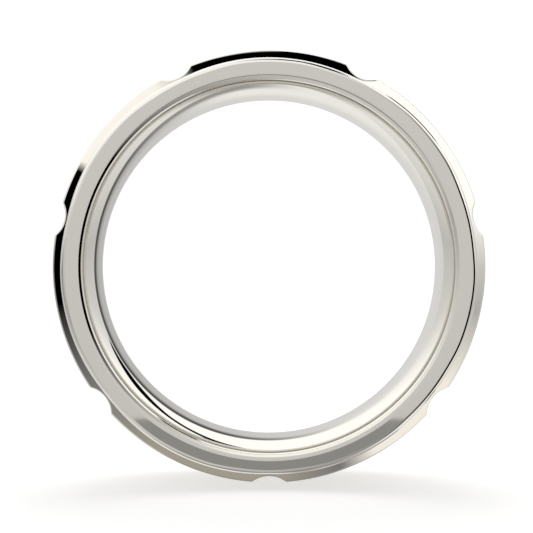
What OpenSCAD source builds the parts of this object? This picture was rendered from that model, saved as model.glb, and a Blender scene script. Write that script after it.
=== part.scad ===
// Notched step-edge wedding band.
// Frame: ring axis along Y, +Z up, origin at the centre of the finger hole, mid-width.
// The band stands on its edge, on the two corners of the notch that points down (-Z).
// Every ring is turned about Z first, then laid over so that its axis becomes Y.

/* [Finger hole] */
// radius of the finger hole at its tightest, mid-width
bore_r = 9.92; // [8.5:0.02:11.5]
// width of the straight land in the middle of the finger hole
land_w = 1.2; // [0.8:0.1:3.2]
// how far the finger hole opens out from the land to each lip
flare = 0.42; // [0.2:0.02:0.42]

/* [Sleeve] */
// overall width of the inner sleeve
sleeve_w = 5.6; // [5.4:0.1:5.8]
// wall thickness of the sleeve at the land
sleeve_t = 0.84; // [0.84:0.02:0.88]
// radius of the small rounded bead round each end of the sleeve
bead_r = 0.045; // [0.04:0.005:0.06]
// how far that bead stands out beyond the flat end of the sleeve, with a 45 degree bevel between
end_step = 0.07; // [0.06:0.01:0.08]

/* [Side rails] */
// overall width of the ring across both side faces
ring_w = 6.5; // [6.3:0.1:7]
// width of one side rail along the ring's axis
rail_w = 0.8; // [0.7:0.05:0.9]
// radial width of the rail lip that overlaps the end of the sleeve
lip_cover = 0.28; // [0.2:0.01:0.28]
// radial width of the steep wall just above the lip
mouth_wall = 0.05; // [0.03:0.01:0.06]
// radial width of the 45 degree bevel round the rail's mouth
mouth_bevel = 0.13; // [0.08:0.01:0.16]
// radial width of the gently domed band between that bevel and the flat side face
mouth_dome = 0.24; // [0.18:0.01:0.3]
// radial distance from the finger hole to the outer edge of the side face
face_reach = 1.54; // [1.5:0.01:1.55]
// radial width of the fine bevel along the outer edge of the side face
edge_bevel = 0.12; // [0.08:0.01:0.16]
// radial rise of the sloped shoulder from that bevel to the centre band
shoulder_rise = 0.27; // [0.1:0.01:0.34]
// distance between the ring's axis and the axis of each shallow rail lobe
lobe_shift = 0.93; // [0.2:0.01:1.2]
// radial amount the lobes trim off the rail even at their highest
lobe_trim = 0.02; // [0.01:0.01:0.05]

/* [Centre band] */
// radial distance from the finger hole to the outside of the centre band
band_reach = 2.5; // [2.4:0.01:2.6]
// radial height of the 45 degree flank on each side of the centre band
flank_h = 0.76; // [0.6:0.01:0.78]
// radius of the rounding between flank and outside
crown_round = 0.3; // [0.1:0.01:0.4]

/* [Notches] */
// number of notches across the centre band
notch_count = 7; // [5:1:9]
// radius of the scallop that forms each notch
notch_r = 1.3; // [0.9:0.05:1.6]
// depth of each notch below the outside of the centre band
notch_depth = 0.466; // [0.2:0.01:0.5]

/* [Hidden] */
$fn = 180;
half_w = ring_w / 2;
half_sleeve = sleeve_w / 2;
band_half_w = half_w - rail_w;
sleeve_r = bore_r + sleeve_t;
lip_r = sleeve_r - lip_cover;
face_r = bore_r + face_reach;
rail_r = face_r + edge_bevel;
bevel_y = half_w - edge_bevel * tan(35);
wall_y = half_w - 2 * edge_bevel;
seat_y = half_sleeve - end_step;
shoulder_r = rail_r + shoulder_rise;
band_r = bore_r + band_reach;
flank_r = band_r - flank_h;
notch_pitch = 360 / notch_count;
cut_w = ring_w + 2;
// radius of the arc that flares the finger hole, tangent to the land
flare_run = half_sleeve - land_w / 2;
flare_r = (pow(flare_run, 2) + pow(flare, 2)) / (2 * flare);
// the bead touches the flare's arc from inside, which sets where it sits
bead_turn = asin((flare_run - bead_r) / (flare_r - bead_r));
bead_at = bore_r + flare_r - (flare_r - bead_r) * cos(bead_turn);
// foot of the 45 degree bevel beside the bead
bevel_foot = bead_at + bead_r * (sqrt(2) - 1) + end_step;
// the mouth's domed band leaves the flat face tangentially and has turned this far at the bevel
dome_turn = 13;
dome_r = mouth_dome / sin(dome_turn);
dome_at = lip_r + mouth_wall + mouth_bevel + mouth_dome;
mouth_y = half_w - dome_r * (1 - cos(dome_turn)) - mouth_bevel;
// how far the crown's rounding reaches past the corner it replaces
round_back = crown_round * tan(22.5);

module lay_over() {
    rotate([-90, 0, 0]) children();
}

// Points along an arc, for the roundings of a section.
function arc(centre, r, from, to, steps = 8) =
    [for (i = [0 : steps]) let (a = from + (to - from) * i / steps)
        centre + r * [cos(a), sin(a)]];

// Half of the sleeve's section: the land, one flared end, the bead round it and its bevel.
function sleeve_half_section() = concat(
    arc([bore_r + flare_r, land_w / 2], flare_r, 180, 180 - bead_turn, 12),
    arc([bead_at, half_sleeve - bead_r], bead_r, 180 - bead_turn, 45, 6),
    [[bevel_foot, seat_y], [sleeve_r, seat_y]]
);

// A whole section, from half of it and the mirror image of that half.
module both_sides(half) {
    last = len(half) - 1;
    polygon(concat(half, [for (i = [0 : last]) [half[last - i][0], -half[last - i][1]]]));
}

module comfort_sleeve() {
    color([0.86, 0.84, 0.80])
    lay_over()
    rotate_extrude() both_sides(sleeve_half_section());
}

// Section of a side rail: seat on the sleeve, lip over the sleeve's end, bevelled mouth,
// domed then flat side face, fine bevel and sloped shoulder.
module rail_section() {
    polygon(concat(
        [[shoulder_r, band_half_w], [sleeve_r, band_half_w],
         [sleeve_r, seat_y], [lip_r, seat_y],
         [lip_r, mouth_y - 3 * mouth_wall], [lip_r + mouth_wall, mouth_y]],
        arc([dome_at, half_w - dome_r], dome_r, 90 + dome_turn, 90, 4),
        [[face_r, half_w], [rail_r, bevel_y], [rail_r, wall_y]]
    ));
}

// Seven overlapping discs whose outline dips a little at every notch.
module lobes(reach, y_from, y_to) {
    translate([0, 0, y_from])
    linear_extrude(y_to - y_from)
    for (i = [0 : notch_count - 1])
        rotate(90 + (i + 0.5) * notch_pitch)
        translate([lobe_shift, 0])
        circle(r = reach - lobe_trim - lobe_shift);
}

module rail() {
    intersection() {
        rotate_extrude() rail_section();
        union() {
            lobes(shoulder_r, band_half_w - 1, wall_y);
            lobes(rail_r, wall_y, half_w + 1);
        }
    }
}

module front_rail() {
    color([0.80, 0.79, 0.76])
    lay_over() mirror([0, 0, 1]) rail();
}

module back_rail() {
    color([0.80, 0.79, 0.76])
    lay_over() rail();
}

// Half of the centre band's section: base, 45 degree flank and rounded crown.
function band_half_section() = concat(
    [[sleeve_r, band_half_w], [flank_r, band_half_w]],
    arc([band_r - crown_round, band_half_w - flank_h - round_back], crown_round, 45, 0, 4)
);

module centre_band() {
    color([0.90, 0.89, 0.87])
    lay_over()
    difference() {
        rotate_extrude() both_sides(band_half_section());
        for (i = [0 : notch_count - 1])
            rotate([0, 0, 90 + i * notch_pitch])
            translate([band_r - notch_depth + notch_r, 0, -cut_w / 2])
            cylinder(r = notch_r, h = cut_w);
    }
}

comfort_sleeve();
front_rail();
back_rail();
centre_band();
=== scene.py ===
"""Looks of the notched wedding band: fine meshes for its four rings, polished metal, and a white studio."""
import math

import bpy
import numpy as np
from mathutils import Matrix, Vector


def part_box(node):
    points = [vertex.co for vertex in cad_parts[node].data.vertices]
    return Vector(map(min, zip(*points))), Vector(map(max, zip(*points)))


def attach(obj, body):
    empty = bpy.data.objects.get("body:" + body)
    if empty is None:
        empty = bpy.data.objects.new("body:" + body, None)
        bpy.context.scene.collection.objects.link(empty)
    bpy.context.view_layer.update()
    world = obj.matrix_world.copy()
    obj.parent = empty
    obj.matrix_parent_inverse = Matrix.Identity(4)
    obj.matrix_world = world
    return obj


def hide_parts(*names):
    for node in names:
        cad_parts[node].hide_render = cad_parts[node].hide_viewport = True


MM = 0.001

# The ring's sizes in millimetres, as in the CAD source. R is a radius, Y a distance from mid-width,
# and the others are lengths or widths.
BORE_R = 9.92
LAND_Y = 0.6
FLARE = 0.42
SLEEVE_R = 10.76
SLEEVE_Y = 2.8
BEAD = 0.045
END_STEP = 0.07
LIP_R = 10.48
MOUTH_WALL = 0.05
MOUTH_BEVEL = 0.13
MOUTH_DOME = 0.24
DOME_TURN = math.radians(13)
RING_Y = 3.25
FACE_R = 11.46
BEVEL = 0.12
BEVEL_TURN = math.radians(35)
SHOULDER_R = 11.85
LOBE_SHIFT = 0.93
BAND_Y = 2.45
BAND_R = 12.42
FLANK_H = 0.76
NOTCHES = 7
NOTCH_R = 1.3
NOTCH_DEPTH = 0.466

# Finer detail than the CAD carries, also in millimetres.
DIP_R = 11.0           # the side face starts to follow the dips of its outer edge here
FLAT_R = 11.2          # an extra edge here keeps the side face flat
EDGE_DIP = 0.06        # how far the side face's outer edge dips at a notch
TRIM = 0.02            # kept clear inside the CAD outline at the rail's edge and shoulder
CROWN_TRIM = 0.002     # and at the outside of the centre band
SEAM = 0.01            # half width of the fine seams between the rings
GROOVE = 0.05          # depth of the groove between the sleeve's bevel and the rail's lip
GUARD = 0.004          # from each rounding to the extra edge that keeps the flat beside it flat
SOFT_CROWN = 0.16      # softness of the edge between flank and outside
SOFT_NOTCH = 0.14      # softness of the notch's edges
FINE_CROWN = 0.4       # the flank's close steps run on this far across the outside

# The camera, on the ring's axis.
CAMERA_DISTANCE = 64 * MM
LENS = 73.49
SENSOR = 36.0
YAW = math.radians(0.126)

PITCH = 2 * math.pi / NOTCHES
ROUND_STEPS = 720
NEAR_NOTCH = 6.5       # degrees each side of a notch where the band's mesh is finest
NOTCH_REACH = 6.4      # degrees each side of a notch beyond which its scallop can't reach
NEAR_STEP = 0.13
FAR_STEPS = 44
SHARP = math.radians(35)


# ---------------------------------------------------------------- shapes

def notch_offset(theta):
    """Signed angle from the nearest notch; one notch points straight down."""
    turned = (theta + math.pi / 2 + PITCH / 2) % PITCH
    return turned - PITCH / 2


def lobe_drop(theta):
    """How far a shallow lobe, highest midway between notches, falls below its highest radius."""
    from_top = PITCH / 2 - np.abs(notch_offset(theta))
    rho = FACE_R - LOBE_SHIFT
    reach = LOBE_SHIFT * np.cos(from_top) + np.sqrt(rho ** 2 - (LOBE_SHIFT * np.sin(from_top)) ** 2)
    return FACE_R - reach


def smooth(value, low, high):
    """Smooth step from 0 at low to 1 at high."""
    t = np.clip((value - low) / (high - low), 0, 1)
    return t * t * (3 - 2 * t)


def edge_dip(theta):
    """Flat-bottomed dip of the side face's outer edge at every notch."""
    return EDGE_DIP * smooth(-np.abs(notch_offset(theta)), math.radians(-18), math.radians(-7))


def arc(cr, cy, radius, start, stop, steps):
    """Points (r, y) along an arc; angles in degrees, 0 points outwards and 90 along +Y."""
    a = np.radians(np.linspace(start, stop, steps + 1))
    return np.stack([cr + radius * np.cos(a), cy + radius * np.sin(a)], 1)


def rounded_path(corners):
    """Points along a path of corners (r, y, rounding), each rounded corner replaced by a tangent arc."""
    out = []
    for k, (r, y, rounding) in enumerate(corners):
        here = np.array([r, y])
        if rounding == 0 or k in (0, len(corners) - 1):
            out.append(here)
            continue
        before = np.array(corners[k - 1][:2]) - here
        after = np.array(corners[k + 1][:2]) - here
        before, after = before / np.linalg.norm(before), after / np.linalg.norm(after)
        half = math.acos(np.clip(before @ after, -1, 1)) / 2
        middle = (before + after) / np.linalg.norm(before + after)
        centre = here + middle * rounding / math.sin(half)
        start = here + before * rounding / math.tan(half) - centre
        stop = here + after * rounding / math.tan(half) - centre
        turn = math.atan2(start[0] * stop[1] - start[1] * stop[0], start @ stop)
        steps = max(8, int(rounding * 30))
        out.append(centre + start + before * GUARD)
        for a in np.linspace(0, turn, steps + 1):
            c, s = math.cos(a), math.sin(a)
            out.append(centre + [c * start[0] - s * start[1], s * start[0] + c * start[1]])
        out.append(centre + stop + after * GUARD)
    return np.array(out)


def even_angles(count):
    return np.linspace(0, 2 * math.pi, count, endpoint=False)


def notch_angles():
    """Angles round the ring, close together at the notches and wider apart between them."""
    near = np.radians(np.arange(-NEAR_NOTCH, NEAR_NOTCH, NEAR_STEP))
    far_from = math.radians(NEAR_NOTCH)
    far = np.linspace(far_from, PITCH - far_from, FAR_STEPS, endpoint=False)
    one = np.concatenate([near, far])
    return np.concatenate([one + i * PITCH - math.pi / 2 for i in range(NOTCHES)])


def turned_mesh(name, angles, profile_at):
    """A closed ring: profile_at(angles) gives r and y arrays of shape (angles, points), in millimetres."""
    r, y = profile_at(angles)
    n_angles, n_points = r.shape
    c, s = np.cos(angles)[:, None], np.sin(angles)[:, None]
    places = np.stack([r * c, y * np.ones_like(c), r * s], -1).reshape(-1, 3) * MM
    here = np.arange(n_angles)[:, None] * n_points
    beyond = (np.arange(n_angles)[:, None] + 1) % n_angles * n_points
    point = np.arange(n_points)[None, :]
    after = (point + 1) % n_points
    quads = np.stack([here + point, here + after, beyond + after, beyond + point], -1).reshape(-1, 4)
    mesh = bpy.data.meshes.new(name)
    mesh.from_pydata(places.tolist(), [], quads.tolist())
    mesh.polygons.foreach_set("use_smooth", [True] * len(mesh.polygons))
    mesh.set_sharp_from_angle(angle=SHARP)
    mesh.update()
    piece = bpy.data.objects.new(name, mesh)
    bpy.context.scene.collection.objects.link(piece)
    return piece


def fixed_profile(points):
    """A section that is the same all the way round."""
    points = np.asarray(points)

    def at(angles):
        shape = (len(angles), len(points))
        return np.broadcast_to(points[:, 0], shape), np.broadcast_to(points[:, 1], shape)
    return at


def sleeve_points():
    """The sleeve's section: land, flared ends, a bevelled bead round each end, and the hidden outside."""
    run = SLEEVE_Y - LAND_Y
    radius = (run ** 2 + FLARE ** 2) / (2 * FLARE)
    tip = math.asin((run - BEAD) / (radius - BEAD))
    bead_at = BORE_R + radius - (radius - BEAD) * math.cos(tip)
    tip = math.degrees(tip)
    foot = bead_at + BEAD * (math.sqrt(2) - 1) + END_STEP
    end_y = SLEEVE_Y - END_STEP
    half = np.concatenate([
        arc(BORE_R + radius, LAND_Y, radius, 180, 180 - tip, 40),
        arc(bead_at, SLEEVE_Y - BEAD, BEAD, 180 - tip, 45, 18)[1:],
        [[foot - SEAM, end_y + SEAM], [foot - SEAM, end_y - GROOVE], [SLEEVE_R - SEAM, end_y - GROOVE]],
    ])
    land = np.stack([np.full(5, BORE_R), np.linspace(-LAND_Y, LAND_Y, 7)[1:-1]], 1)
    return np.concatenate([half[::-1] * [1, -1], land, half])


def rail_profile(side):
    """Section of a side rail; its outer edge and shoulder dip a little at every notch."""
    seat_y = SLEEVE_Y - END_STEP
    rail_r = FACE_R + BEVEL
    wall_y = RING_Y - 3 * BEVEL
    dome_r = MOUTH_DOME / math.sin(DOME_TURN)
    dome_y = RING_Y - dome_r * (1 - math.cos(DOME_TURN))
    mouth_r = LIP_R + MOUTH_WALL
    mouth_y = dome_y - MOUTH_BEVEL
    dome_corner = mouth_r + MOUTH_BEVEL + MOUTH_DOME - dome_r * math.tan(DOME_TURN / 2)
    points = rounded_path([
        (SLEEVE_R, BAND_Y + SEAM, 0), (SLEEVE_R, seat_y, 0), (LIP_R, seat_y, 0.01),
        (LIP_R, mouth_y - 3 * MOUTH_WALL, 0.1), (mouth_r, mouth_y, 0.08),
        (mouth_r + MOUTH_BEVEL, dome_y, 0.02), (dome_corner, RING_Y, 0.9 * dome_r),
        (FLAT_R, RING_Y, 0), (FACE_R, RING_Y, 0.02),
        (rail_r, RING_Y - BEVEL * math.tan(BEVEL_TURN), 0.03), (rail_r, wall_y, 0.01),
        (SHOULDER_R - 0.11, BAND_Y + 0.24, 0.5), (SHOULDER_R, BAND_Y + SEAM, 0),
    ])
    r, y = points[:, 0], points[:, 1]
    follows_lobe = np.clip((r - rail_r) / (SHOULDER_R - rail_r), 0, 1)
    follows_edge = smooth(r, DIP_R, FACE_R) - follows_lobe
    follows_edge[0] = follows_lobe[0] = 0

    def at(angles):
        drop = (edge_dip(angles)[:, None] + TRIM) * follows_edge
        drop = drop + (lobe_drop(angles)[:, None] + TRIM) * follows_lobe
        return r - drop, np.broadcast_to(side * y, drop.shape)
    return at


def soft_min(a, b, width):
    """Smaller of two heights, blended over a width so that the edge between them is rounded."""
    h = np.clip(0.5 + 0.5 * (b - a) / width, 0, 1)
    return b * (1 - h) + a * h - width * h * (1 - h)


def band_profile(angles):
    """Section of the centre band: bevelled flanks and rounded crown, cut by the scalloped notches."""
    fine_to = BAND_Y - FLANK_H - FINE_CROWN
    half_y = np.concatenate([np.linspace(BAND_Y, fine_to, 40), np.linspace(fine_to, 0, 9)[1:]])
    y = np.concatenate([half_y, -half_y[:-1][::-1]])
    crown = np.full((len(angles), len(y)), BAND_R - CROWN_TRIM)
    bevel = np.broadcast_to(BAND_R - FLANK_H + (BAND_Y - np.abs(y))[None, :], crown.shape)
    centre = BAND_R - NOTCH_DEPTH + NOTCH_R
    off = notch_offset(angles)
    side = np.minimum(np.abs(centre * np.sin(off)), NOTCH_R)
    cut = centre * np.cos(off) - np.sqrt(NOTCH_R ** 2 - side ** 2)
    cut = np.where(np.abs(off) > math.radians(NOTCH_REACH), BAND_R + 1, cut)
    notch = np.broadcast_to(cut[:, None], crown.shape)
    r = soft_min(soft_min(crown, bevel, SOFT_CROWN), notch, SOFT_NOTCH)
    inner = np.full((len(angles), 1), SLEEVE_R + SEAM)
    r = np.concatenate([inner, r, inner], 1)
    y = np.concatenate([[BAND_Y], y, [-BAND_Y]])
    return r, np.broadcast_to(y, r.shape)


# ---------------------------------------------------------------- materials

METAL_COLOUR = (0.925, 0.892, 0.829)
TINT_LOW = 0.97          # the colour's strength where the fine noise is lowest
MARKS_SCALE = 900        # buffing marks about a millimetre apart
CLOUDS_SCALE = 260       # and broader clouds of roughness
POLISH = (0.02, 0.044)   # roughness where the clouds are lowest and highest
MARKS_STRENGTH = 0.1
MARKS_DEPTH = 0.000002


def polished_metal(name):
    """Mirror-polished white metal with faint buffing marks and slight variation in tint and roughness."""
    material = bpy.data.materials.new(name)
    material.use_nodes = True
    nodes, links = material.node_tree.nodes, material.node_tree.links
    shader = nodes["Principled BSDF"]
    shader.inputs["Metallic"].default_value = 1.0
    where = nodes.new("ShaderNodeTexCoord")

    fine = nodes.new("ShaderNodeTexNoise")
    fine.inputs["Scale"].default_value = MARKS_SCALE
    fine.inputs["Detail"].default_value = 4
    links.new(where.outputs["Object"], fine.inputs["Vector"])

    tint = nodes.new("ShaderNodeMapRange")
    tint.inputs["To Min"].default_value = TINT_LOW
    tint.inputs["To Max"].default_value = 1.0
    links.new(fine.outputs["Fac"], tint.inputs["Value"])
    shade = nodes.new("ShaderNodeVectorMath")
    shade.operation = "SCALE"
    shade.inputs[0].default_value = METAL_COLOUR
    links.new(tint.outputs["Result"], shade.inputs["Scale"])
    links.new(shade.outputs["Vector"], shader.inputs["Base Color"])

    cloud = nodes.new("ShaderNodeTexNoise")
    cloud.inputs["Scale"].default_value = CLOUDS_SCALE
    cloud.inputs["Detail"].default_value = 5
    links.new(where.outputs["Object"], cloud.inputs["Vector"])
    rough = nodes.new("ShaderNodeMapRange")
    rough.inputs["To Min"].default_value, rough.inputs["To Max"].default_value = POLISH
    links.new(cloud.outputs["Fac"], rough.inputs["Value"])
    links.new(rough.outputs["Result"], shader.inputs["Roughness"])

    bump = nodes.new("ShaderNodeBump")
    bump.inputs["Strength"].default_value = MARKS_STRENGTH
    bump.inputs["Distance"].default_value = MARKS_DEPTH
    links.new(fine.outputs["Fac"], bump.inputs["Height"])
    links.new(bump.outputs["Normal"], shader.inputs["Normal"])
    return material


# ---------------------------------------------------------------- studio

class Graph:
    """Builds node arithmetic for the studio's surroundings. Angles are in degrees."""

    def __init__(self, tree):
        self.tree = tree

    def feed(self, socket, value):
        if isinstance(value, (int, float, tuple)):
            socket.default_value = value
        else:
            self.tree.links.new(value, socket)

    def math(self, operation, *values):
        node = self.tree.nodes.new("ShaderNodeMath")
        node.operation = operation
        for socket, value in zip(node.inputs, values):
            self.feed(socket, value)
        return node.outputs[0]

    def step(self, value, low, high):
        """Smooth step from 0 at low to 1 at high; low may be above high."""
        first, second = 0.0, 1.0
        if low > high:
            low, high, first, second = high, low, second, first
        node = self.tree.nodes.new("ShaderNodeMapRange")
        node.interpolation_type = "SMOOTHSTEP"
        for key, v in (("From Min", low), ("From Max", high), ("To Min", first), ("To Max", second)):
            node.inputs[key].default_value = v
        self.feed(node.inputs["Value"], value)
        return node.outputs["Result"]

    def inside(self, value, low, high, soft):
        """1 between low and high, 0 outside, with each edge spread over soft on both sides."""
        rises = self.step(value, low - soft, low + soft)
        falls = self.step(value, high + soft, high - soft)
        return self.math("MULTIPLY", rises, falls)

    def mix(self, factor, a, b):
        node = self.tree.nodes.new("ShaderNodeMix")
        node.data_type = "RGBA"
        self.feed(node.inputs["Factor"], factor)
        self.feed(node.inputs["A"], colour_of(a))
        self.feed(node.inputs["B"], colour_of(b))
        return node.outputs["Result"]

    def ramp(self, value, stops):
        """Colour by a value from 0 to 1."""
        node = self.tree.nodes.new("ShaderNodeValToRGB")
        elements = node.color_ramp.elements
        while len(elements) < len(stops):
            elements.new(0.5)
        for element, (at, level) in zip(elements, stops):
            element.position = at
            element.color = colour_of(level)
        self.feed(node.inputs["Fac"], value)
        return node.outputs["Color"]


def colour_of(level):
    """RGBA of a grey level or of three numbers; a node's output passes through."""
    if isinstance(level, (int, float)):
        return (level, level, level, 1.0)
    if isinstance(level, tuple):
        return (*level, 1.0)
    return level


# What stands round the ring, seen only in its polish: levels of brightness by angle in degrees, fitted
# to the reflections in the photograph and rounded.

# In front, by elevation: pale floor, wall, bright ceiling, and a dark stripe where the floor ends.
FRONT = [
    (-90, 0.8), (-60, 0.52), (-48, 0.44), (-27, 0.58), (-8, 0.6), (30, 0.66), (50, 0.9), (62, 1.08),
    (90, 1.1),
]
STRIPE = (-14.1, -7.93)
STRIPE_LEVEL = 0.275
STRIPE_SOFT = 0.04

DUSK = (0.385, 0.365, 0.315)
CREAM = (0.97, 0.95, 0.90)
WARM_WHITE = (1.06, 1.04, 1.0)
# A card round the ring's face, by angle round its axis from +X towards +Z: black on the right.
CARD = [
    (0, 0.0), (20, 0.0), (60, 0.6), (80, 1.0), (130, 1.0), (170, 0.62), (195, 0.4), (220, 0.6), (255, 0.6),
    (300, 0.3), (325, 0.0), (360, 0.0),
]
# Beside the ring, by the same angle: white panels, black ones above and at the left, dusk below.
SIDES = [
    (0, 0.62), (18, 1.15), (62, 1.15), (66, 0.0), (112, 0.0), (114.5, 0.6), (123, WARM_WHITE),
    (151, WARM_WHITE), (152.5, 0.0), (190, 0.0), (216, 0.22), (240, DUSK), (272, DUSK), (290, 0.2),
    (300, CREAM), (326, CREAM), (348, 0.46), (360, 0.62),
]
# The same panels further back, where the black ones are narrower and paler.
REAR_SIDES = [
    (0, 0.64), (20, 1.15), (66, 1.15), (71, 0.0), (85, 0.03), (101, 1.0), (150, 1.1), (170, 0.75),
    (180, 0.18), (204, 0.6), (230, 0.7), (246, 0.32), (288, 0.27), (305, 0.92), (320, CREAM), (348, 0.48),
    (360, 0.64),
]
# Behind the ring, by elevation, outside the pale round area.
BEHIND = [
    (-90, 0.12), (-56, 0.2), (-52, 0.32), (-46, 0.58), (-38, 0.82), (-18, 0.70), (-5, 0.54), (9, 0.68),
    (23, 1.02), (30, 1.12), (90, 1.15),
]

# The pale round area behind the ring: a superellipse in azimuth and elevation.
AREA_HALF_WIDTH = 30.0
AREA_HALF_HEIGHT = 38.5
AREA_BELOW_LEVEL = 12.0
AREA_SQUARENESS = 2.5
AREA_LEAN = 0.35

# The dark arm: its middle and half width round the axis, by angle from the front.
ARM = [
    (97, 77, 8), (104, 75, 12), (119, 77, 10), (129, 75, 6), (137, 49.5, 7.5), (145, 36, 9.5), (151, 27, 5),
]
ARM_SOFT = 1.5
ARM_FADE = 0.6           # how much paler it is where it passes beside the ring

SEEN_WHITE = 1.08        # what the camera sees past the ring
FLOOR_SEES = (0.25, 0.9)  # what lights the floor, from the front and from behind


def round_area(g, azimuth, height, outside):
    """The pale round area behind the ring, shaded to its right, with a dark rim there."""
    across = g.math("DIVIDE", g.math("ABSOLUTE", azimuth), AREA_HALF_WIDTH)
    above = g.math("ABSOLUTE", g.math("ADD", height, AREA_BELOW_LEVEL))
    up = g.math("DIVIDE", above, AREA_HALF_HEIGHT)
    powers = [g.math("POWER", part, AREA_SQUARENESS) for part in (across, up)]
    reach = g.math("POWER", g.math("ADD", *powers), 1 / AREA_SQUARENESS)
    off_level = g.step(g.math("ABSOLUTE", height), 0, 32)
    lean = g.math("ADD", azimuth, g.math("MULTIPLY", height, AREA_LEAN))
    lit, shaded = g.mix(off_level, 0.70, 0.90), g.mix(off_level, 0.41, 0.50)
    middle = g.mix(g.step(lean, -6, 17), lit, shaded)
    area = g.mix(g.step(reach, 0.96, 1.03), middle, outside)
    rim = g.math("MULTIPLY", g.step(reach, 0.62, 0.88), g.step(reach, 1.04, 0.97))
    rim = g.math("MULTIPLY", rim, g.step(azimuth, -14, 10))
    return g.mix(rim, area, g.mix(g.step(height, -6, -38), 0.08, 0.33))


def dark_arm(g, turn, from_front):
    """How dark the arm is: it hangs over the ring and comes down behind it on the right."""
    by_front = g.math("DIVIDE", from_front, 180.0)
    middle = g.ramp(by_front, [(a / 180, at / 360) for a, at, _ in ARM])
    half_width = g.ramp(by_front, [(a / 180, wide / 360) for a, _, wide in ARM])
    off = g.math("ABSOLUTE", g.math("SUBTRACT", turn, middle))
    over = g.math("SUBTRACT", off, half_width)
    soft = ARM_SOFT / 360
    arm = g.math("MULTIPLY", g.step(over, soft, -soft), g.inside(from_front, 100, 149, ARM_SOFT))
    beside = g.inside(from_front, 114, 126, 3)
    return g.math("MULTIPLY", arm, g.math("SUBTRACT", 1.0, g.math("MULTIPLY", beside, ARM_FADE)))


def build_world():
    """Surroundings seen in the polished metal. The camera sees plain white past the ring, and the floor
    is lit softly, mostly from behind."""
    world = bpy.data.worlds.new("studio")
    bpy.context.scene.world = world
    world.use_nodes = True
    tree = world.node_tree
    g = Graph(tree)
    coords = tree.nodes.new("ShaderNodeTexCoord")
    split = tree.nodes.new("ShaderNodeSeparateXYZ")
    tree.links.new(coords.outputs["Generated"], split.inputs[0])
    x, y, z = split.outputs
    turn = g.math("DIVIDE", g.math("ARCTAN2", z, x), 2 * math.pi)
    turn = g.math("FRACT", g.math("ADD", turn, 1.0))
    from_front = g.math("DEGREES", g.math("ARCCOSINE", g.math("MULTIPLY", y, -1.0)))
    azimuth = g.math("DEGREES", g.math("ARCTAN2", x, y))
    height = g.math("DEGREES", g.math("ARCSINE", z))
    by_height = g.math("DIVIDE", g.math("ADD", height, 90.0), 180.0)

    def round_axis(stops):
        return g.ramp(turn, [(a / 360, level) for a, level in stops])

    def by_elevation(stops):
        return g.ramp(by_height, [((a + 90) / 180, level) for a, level in stops])

    colour = g.mix(g.inside(height, *STRIPE, STRIPE_SOFT), by_elevation(FRONT), STRIPE_LEVEL)
    behind = round_area(g, azimuth, height, by_elevation(BEHIND))
    from_front_to_back = [
        (68, 75, round_axis(CARD)), (95, 97, round_axis(SIDES)), (101.5, 110, round_axis(REAR_SIDES)),
        (119, 125, behind),
    ]
    for starts, full, zone in from_front_to_back:
        colour = g.mix(g.step(from_front, starts, full), colour, zone)
    colour = g.mix(dark_arm(g, turn, from_front), colour, 0.0)

    rays = tree.nodes.new("ShaderNodeLightPath")
    seen = g.mix(rays.outputs["Is Camera Ray"], colour, SEEN_WHITE)
    seen = g.mix(rays.outputs["Is Diffuse Ray"], seen, g.mix(g.step(y, -0.15, 0.35), *FLOOR_SEES))
    tree.links.new(seen, tree.nodes["Background"].inputs["Color"])


FLOOR_SIZE = 6.0
FLOOR_COLOUR = (0.95, 0.95, 0.945, 1)
FLOOR_GLOW_COLOUR = (1.0, 0.995, 0.985, 1)
FLOOR_GLOW = 0.49


def build_floor(level):
    """Plain white floor that glows a little, so that only the ring's soft shadow shows on it."""
    mesh = bpy.data.meshes.new("floor")
    corners = [(-1, -1), (1, -1), (1, 1), (-1, 1)]
    places = [(sx * FLOOR_SIZE, sy * FLOOR_SIZE, level) for sx, sy in corners]
    mesh.from_pydata(places, [], [(0, 1, 2, 3)])
    floor = bpy.data.objects.new("floor", mesh)
    bpy.context.scene.collection.objects.link(floor)
    material = bpy.data.materials.new("floor_white")
    material.use_nodes = True
    shader = material.node_tree.nodes["Principled BSDF"]
    shader.inputs["Base Color"].default_value = FLOOR_COLOUR
    shader.inputs["Roughness"].default_value = 0.9
    shader.inputs["Specular IOR Level"].default_value = 0.0
    shader.inputs["Emission Color"].default_value = FLOOR_GLOW_COLOUR
    shader.inputs["Emission Strength"].default_value = FLOOR_GLOW
    mesh.materials.append(material)
    floor.visible_glossy = False


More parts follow.
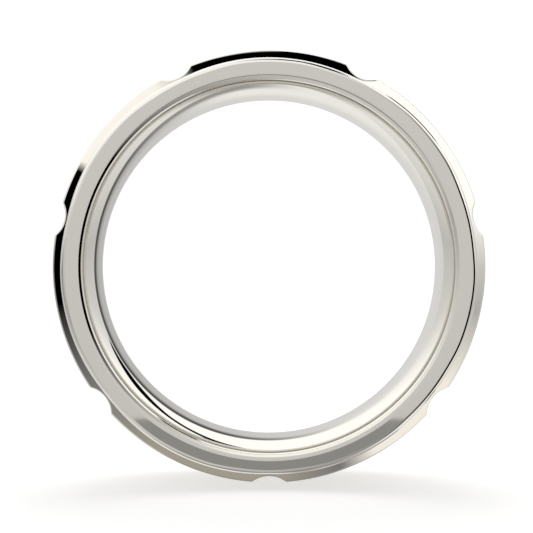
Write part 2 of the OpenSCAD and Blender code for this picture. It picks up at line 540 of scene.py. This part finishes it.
def soft_light(name, place, size, power):
    """A large soft lamp aimed at the ring, which lights the floor without showing in the metal."""
    data = bpy.data.lights.new(name, "AREA")
    data.size = size
    data.energy = power
    lamp = bpy.data.objects.new(name, data)
    bpy.context.scene.collection.objects.link(lamp)
    lamp.location = place
    lamp.rotation_euler = Vector(place).to_track_quat("Z", "Y").to_euler()
    lamp.visible_glossy = False
    lamp.visible_camera = False


def build_camera():
    data = bpy.data.cameras.new("camera")
    data.lens = LENS
    data.sensor_width = SENSOR
    data.clip_start = 0.001
    data.clip_end = 50
    camera = bpy.data.objects.new("camera", data)
    bpy.context.scene.collection.objects.link(camera)
    camera.location = (0, -CAMERA_DISTANCE, 0)
    camera.rotation_euler = (math.radians(90), 0, YAW)
    bpy.context.scene.camera = camera


# ---------------------------------------------------------------- scene

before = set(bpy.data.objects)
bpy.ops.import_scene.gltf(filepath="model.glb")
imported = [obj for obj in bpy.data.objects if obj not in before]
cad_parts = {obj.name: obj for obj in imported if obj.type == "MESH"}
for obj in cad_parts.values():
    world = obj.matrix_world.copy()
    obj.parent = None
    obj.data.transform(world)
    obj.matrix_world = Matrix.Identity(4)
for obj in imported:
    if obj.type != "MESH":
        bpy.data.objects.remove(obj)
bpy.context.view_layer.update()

metals = {slot: polished_metal(slot) for slot in ("sleeve_metal", "rail_metal", "band_metal")}
ROUND = even_angles(ROUND_STEPS)
PIECES = [
    ("sleeve_lining", "comfort_sleeve", "sleeve_metal", ROUND, fixed_profile(sleeve_points())),
    ("rail_front", "front_rail", "rail_metal", ROUND, rail_profile(-1)),
    ("rail_back", "back_rail", "rail_metal", ROUND, rail_profile(1)),
    ("notched_band", "centre_band", "band_metal", notch_angles(), band_profile),
]
for piece_name, node, slot, angles, profile in PIECES:
    piece = turned_mesh(piece_name, angles, profile)
    piece.data.materials.append(metals[slot])
    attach(piece, "root")
    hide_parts(node)

build_camera()
build_world()
build_floor(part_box("centre_band")[0].z)
soft_light("overhead", place=(0, 0.25, 0.43), size=0.25, power=0.35)
bpy.context.scene.view_settings.view_transform = "Standard"
